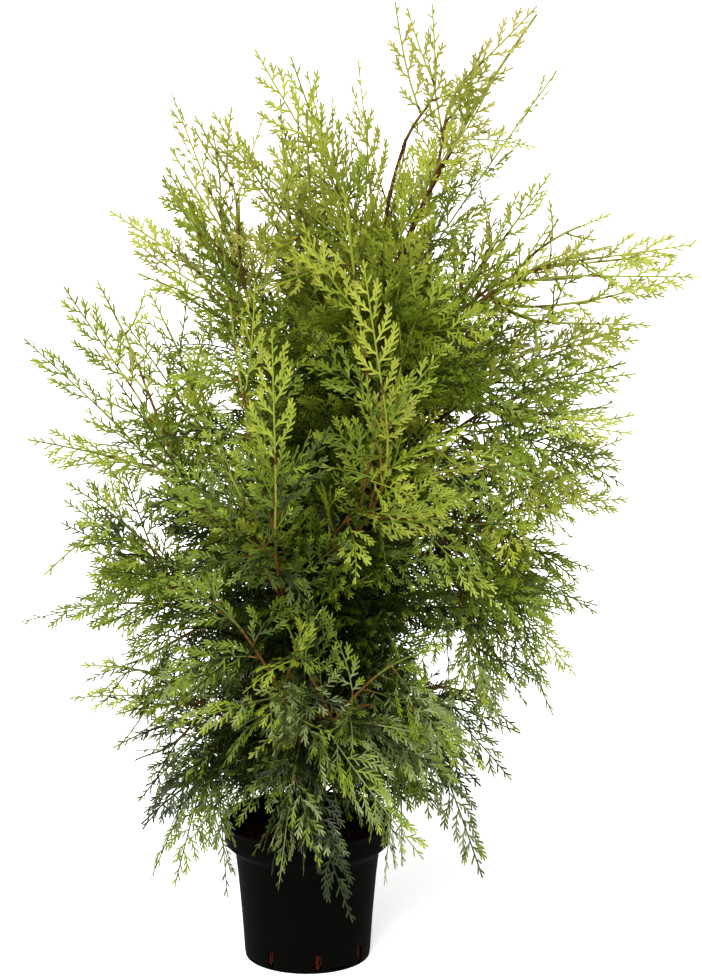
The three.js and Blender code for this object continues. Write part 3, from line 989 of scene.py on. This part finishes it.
woody.append(frond_tubes(fronds, 0.0, BARE_SHARE, FROND_FOOT_RADIUS))
place(mesh_piece("twigs_woody", *joined(woody), twig_bark), "bark")
place(mesh_piece("twigs_green", *joined(green), green_wood), "foliage")
place(mesh_piece("twigs_deep_green", *joined(painted_shade_shoots), shaded_wood), "foliage")

# %% [markdown]
# ## The pot
# A nursery pot is injection-moulded from black polypropylene: a thin wall with a stiff upright band
# round the rim, slots at the foot for water, and a few low arches under it. A wall with holes is
# easy to make as a sheet. The faces where the slots are get left out, and a Solidify modifier then
# gives the sheet its thickness, so the slots have real edges.

# %% Pot mesh
POT_COLUMNS = 120  # 3 degrees each, so a slot is two columns wide
SLOTS, SLOT_COLUMNS = 8, 2
ARCHES, ARCH_COLUMNS = 4, 6
SLOT_TURN = math.radians(10.5 - 90)
SLOT_SPAN = (0.012, 0.135)  # shares of the pot's height between which the slots are open
ARCH_HEIGHT = 0.024  # of the pot's height
WALL = 2 * MM


def pot_profile():
    """Radius and height of the outside of the wall from foot to rim, for the pot's real proportions."""
    r, h = rim_radius, rim_height
    shape = [
        (0.700, 0.000), (0.722, 0.004), (0.735, 0.014), (0.741, 0.030), (0.745, 0.060), (0.749, 0.095),
        (0.754, 0.142), (0.759, 0.180), (0.772, 0.300), (0.794, 0.450), (0.816, 0.600), (0.840, 0.720),
        (0.852, 0.768), (0.858, 0.776), (0.868, 0.784), (0.925, 0.812), (0.962, 0.832), (0.974, 0.846),
        (0.978, 0.900), (0.984, 0.950), (0.986, 0.972), (0.996, 0.978), (0.998, 0.992), (0.990, 1.000),
    ]
    return [(a * r, b * h) for a, b in shape]


profile = pot_profile()
print(f"pot: {len(profile)} rows of {POT_COLUMNS} columns, rim {2000 * rim_radius:.0f} mm across")


def slot_columns(count, half_columns):
    """The columns of the wall that a ring of equal openings takes."""
    middles = np.arange(count) * POT_COLUMNS // count
    return {int(m + k) % POT_COLUMNS for m in middles for k in range(-half_columns, half_columns)}


def pot_points(rows, turn):
    """A ring of points for each row's radius and height."""
    around = np.arange(POT_COLUMNS) * 2 * math.pi / POT_COLUMNS + turn
    x, y, level = np.cos(around), np.sin(around), np.ones(POT_COLUMNS)
    return np.concatenate([np.stack([r * x, r * y, h * level], axis=1) for r, h in rows])


def pot_faces(rows, slots, arches):
    """Wall faces, leaving out the slots, low on the wall, and the arches in its foot."""
    faces = []
    for row in range(len(rows) - 1):
        height = (rows[row][1] + rows[row + 1][1]) / 2 / rim_height
        for column in range(POT_COLUMNS):
            in_slot = column in slots and SLOT_SPAN[0] < height < SLOT_SPAN[1]
            in_arch = column in arches and height < ARCH_HEIGHT
            if in_slot or in_arch:
                continue
            a, b = row * POT_COLUMNS + column, row * POT_COLUMNS + (column + 1) % POT_COLUMNS
            faces.append([a, b, b + POT_COLUMNS, a + POT_COLUMNS])
    return np.array(faces)


# %% [markdown]
# The black is not a true black, but it is close: polypropylene full of carbon black reflects very
# little of the light. Its IOR is 1.49. The wall is moulded with a very fine, even grain that leaves
# it dull, so its gloss is turned nearly off.

# %% Make the pot
polypropylene = patterned(
    "black_moulded_polypropylene", "#030302", "#060605", 1.2, 0.7, 0.05, ior=1.49, gloss=0.03
)

slots = slot_columns(SLOTS, SLOT_COLUMNS // 2)
arches = slot_columns(ARCHES, ARCH_COLUMNS // 2)
arches = {(column + POT_COLUMNS // SLOTS // 2) % POT_COLUMNS for column in arches}
wall_faces = pot_faces(profile, slots, arches)
pot = mesh_piece("pot_wall", pot_points(profile, SLOT_TURN), wall_faces, polypropylene)
wall = pot.modifiers.new("wall", "SOLIDIFY")
wall.thickness = WALL
wall.offset = -1
wall.use_even_offset = True
place(pot, "pot", "pot")

FLOOR_HEIGHT = 0.018  # of the pot's height
floor_rows = [(r * rim_radius, FLOOR_HEIGHT * rim_height) for r in (0.0005, 0.3, 0.62, 0.70, 0.735)]
floor_faces = pot_faces(floor_rows, set(), set())
pot_floor = mesh_piece("pot_floor", pot_points(floor_rows, SLOT_TURN), floor_faces, polypropylene)
floor_wall = pot_floor.modifiers.new("wall", "SOLIDIFY")
floor_wall.thickness = WALL
floor_wall.offset = 1
place(pot_floor, "pot", "pot")

# %% [markdown]
# ## Compost
# Moist peat compost is dark red-brown and crumbly. It is one mesh of rings and columns, a disc on
# top and a wall behind the slots, whose points are pushed about by a sum of short waves. Loose crumbs
# lie on it, and rusty roots run down behind the slots.

# %% Compost mesh
CRUMB_RELIEF = 1.6 * MM
BED_COLUMNS, TOP_RINGS, SIDE_RINGS = 150, 48, 44
BED_FOOT = 8 * MM


def crumbly(x, y, z):
    """An uneven height between about -1 and 1, with lumps from 3 to 20 mm."""
    waves = 0.0
    for size, share, seed in ((21, 0.5, 1.3), (9, 0.5, 4.1), (4.1, 0.45, 7.7), (2.7, 0.3, 2.9)):
        k = 2 * math.pi / (size * MM)
        waves = waves + share * np.sin(k * x + seed + 2 * np.sin(0.7 * k * y)) * np.sin(
            k * y + 2 * seed + 1.5 * np.sin(0.6 * k * x + k * z)
        )
    return waves


def compost_mesh():
    """A disc that sinks a little towards the pot's wall, and a side that follows the wall down."""
    columns = BED_COLUMNS
    top = compost_height - 2 * MM
    side = top - 4 * MM
    edge = float(pot_radius(side)) - WALL
    rows = [(r * edge, top - 4 * MM * r**2) for r in np.linspace(0.01, 0.97, TOP_RINGS)]
    heights = np.linspace(side - 2 * MM, BED_FOOT, SIDE_RINGS)
    rows += [(float(pot_radius(h)) - WALL - CRUMB_RELIEF, h) for h in heights]
    around = np.arange(columns) * 2 * math.pi / columns
    points = []
    for r, height in rows:
        x, y = r * np.cos(around), r * np.sin(around)
        lump = CRUMB_RELIEF * crumbly(x, y, height)
        if height > side:
            points.append(np.stack([x, y, height + lump], axis=1))
        else:
            inwards = 1 + (lump - 1.2 * MM) * 0.3 / r
            points.append(np.stack([x * inwards, y * inwards, np.full(columns, height)], axis=1))
    points = np.concatenate(points + [[[0, 0, top]], [[0, 0, BED_FOOT]]])
    a = np.arange(columns)
    b = (a + 1) % columns
    first = (np.arange(len(rows) - 1) * columns)[:, None]
    corners = [first + a, first + columns + a, first + columns + b, first + b]
    quads = np.stack(corners, axis=-1).reshape(-1, 4)
    faces = np.concatenate([quads[:, [0, 1, 2]], quads[:, [0, 2, 3]]])
    middle, under, last_ring = len(rows) * columns, len(rows) * columns + 1, (len(rows) - 1) * columns
    lids = [
        np.stack([a, b, np.full(columns, middle)], axis=1),
        np.stack([last_ring + b, last_ring + a, np.full(columns, under)], axis=1),
    ]
    return points, np.concatenate([faces] + lids)


peat = patterned("moist_peat_compost", "#0f0805", "#28140b", 5, 0.95, 1.0, gloss=0.1)
place(mesh_piece("compost_bed", *compost_mesh(), peat, smooth=False), "compost", "compost")

# %% Crumbs on the compost
CRUMBS = 900
KNOBBLE = np.array([[1, 0, 0], [-1, 0, 0], [0, 1, 0], [0, -1, 0], [0, 0, 1], [0, 0, -1]], dtype=float)
KNOBBLE_FACES = [[0, 2, 4], [2, 1, 4], [1, 3, 4], [3, 0, 4], [2, 0, 5], [1, 2, 5], [3, 1, 5], [0, 3, 5]]

radius = (pot_radius(compost_height) - 2 * WALL) * np.sqrt(rng.uniform(0.03, 1, CRUMBS))
turned = rng.uniform(0, 2 * math.pi, CRUMBS)
size = rng.uniform(0.8, 2.8, CRUMBS)[:, None, None] * MM
stretch = rng.uniform(0.5, 1.6, (CRUMBS, 1, 3))
height = np.full(CRUMBS, compost_height - 2.5 * MM)
spots = np.stack([radius * np.cos(turned), radius * np.sin(turned), height], axis=1)
crumbs = spots[:, None] + size * stretch * (KNOBBLE[None] + rng.uniform(-0.25, 0.25, (CRUMBS, 6, 3)))
peat_crumbs = patterned("peat_crumbs", "#170c07", "#351c10", 3, 0.9, 0.4, gloss=0.1)
crumb_parts = repeated(crumbs, KNOBBLE_FACES)
place(mesh_piece("compost_crumbs", *crumb_parts, peat_crumbs, smooth=False), "compost")

# %% Roots behind the slots
ROOTS_PER_SLOT = 7
ROOT_STEP, ROOT_SCATTER = 0.017, 0.005  # radians round the pot


def root(turn, seed):
    """A thin root that wanders down the outside of the root ball."""
    height = np.linspace(0.004, 0.045, 14)
    angle = turn + 0.03 * np.sin(90 * height + seed) + 0.012 * np.sin(310 * height + 2 * seed)
    radius = POT_FOOT_RADIUS - 2.7 * MM + 0.5 * MM * np.sin(200 * height + seed) + 0.06 * height
    line = np.stack([radius * np.cos(angle), radius * np.sin(angle), height], axis=1)
    return tube(line, np.full(len(line), rng.uniform(0.35, 0.8) * MM), 6)


root_skin = patterned("root_skin", "#32110a", "#562113", 4, 0.9, 0.2, gloss=0.1)
roots = []
for slot in range(SLOTS):
    for k in range(ROOTS_PER_SLOT):
        offset = (k - (ROOTS_PER_SLOT - 1) / 2) * ROOT_STEP + rng.uniform(-ROOT_SCATTER, ROOT_SCATTER)
        roots.append(root(SLOT_TURN + slot * 2 * math.pi / SLOTS + offset, 3 * slot + k))
place(mesh_piece("roots", *joined(roots), root_skin), "compost")

# %% [markdown]
# ## Floor and light
# A pale floor runs on into a pale surrounding, so nothing competes with the plant. The floor is
# given a faint glow of its own: painted light that lightens the plant's shadow on it, and that also
# lights the plant a little from below. The light is a big soft sun high in front on the left, a weak
# one on the right, and an even glow from all round that fills the shadows. To the camera alone, the
# surrounding looks as white as the floor.

# %% Stage
FLOOR_SIZE = 90.0
corners = 0.5 * FLOOR_SIZE * np.array([[-1, -1, 0], [1, -1, 0], [1, 1, 0], [-1, 1, 0]])
# The floor's glow of 0.22 is painted light that lightens the plant's shadow on the floor.
glowing_floor = patterned("matt_white_floor", "#fbfbfb", "#fdfdfd", 40, 0.9, 0.05, glow=0.22)
floor = mesh_piece("floor", corners, np.array([[0, 1, 2, 3]]), glowing_floor, smooth=False)

# %% Surrounding
WORLD_LIGHT, BACKDROP_LIGHT = 0.65, 1.0
world = bpy.data.worlds.new("studio")
world.use_nodes = True
glow = world.node_tree.nodes["Background"]
glow.inputs["Color"].default_value = WHITE
glow.inputs["Strength"].default_value = WORLD_LIGHT
backdrop = add_node(world, "ShaderNodeBackground", {"Color": WHITE, "Strength": BACKDROP_LIGHT})
seen = add_node(world, "ShaderNodeLightPath").outputs["Is Camera Ray"]
lights = {1: glow.outputs["Background"], 2: backdrop.outputs["Background"]}
either = add_node(world, "ShaderNodeMixShader", links={"Fac": seen, **lights})
surface = world.node_tree.nodes["World Output"].inputs["Surface"]
world.node_tree.links.new(either.outputs["Shader"], surface)
bpy.context.scene.world = world

# %% Lamps
AIM = np.array([0, 0, 0.55])  # the middle of the plant


def sun(name, place_at, width, power):
    """A soft sun that looks at the middle of the plant. Its width is an angle in degrees."""
    light = bpy.data.lights.new(name, "SUN")
    light.energy = power
    light.angle = math.radians(width)
    piece = bpy.data.objects.new(name, light)
    piece.location = place_at
    x, y, z = AIM - np.array(place_at)
    piece.rotation_euler = (math.atan2(math.hypot(x, y), -z), 0, math.atan2(y, x) - math.pi / 2)
    bpy.context.scene.collection.objects.link(piece)


sun("key", (-1.0, -2.3, 3.0), 40, 4.4)
sun("fill", (1.3, -2.6, 2.2), 60, 0.6)

bpy.context.scene.view_settings.view_transform = "Standard"
bpy.context.scene.view_settings.look = "Medium High Contrast"
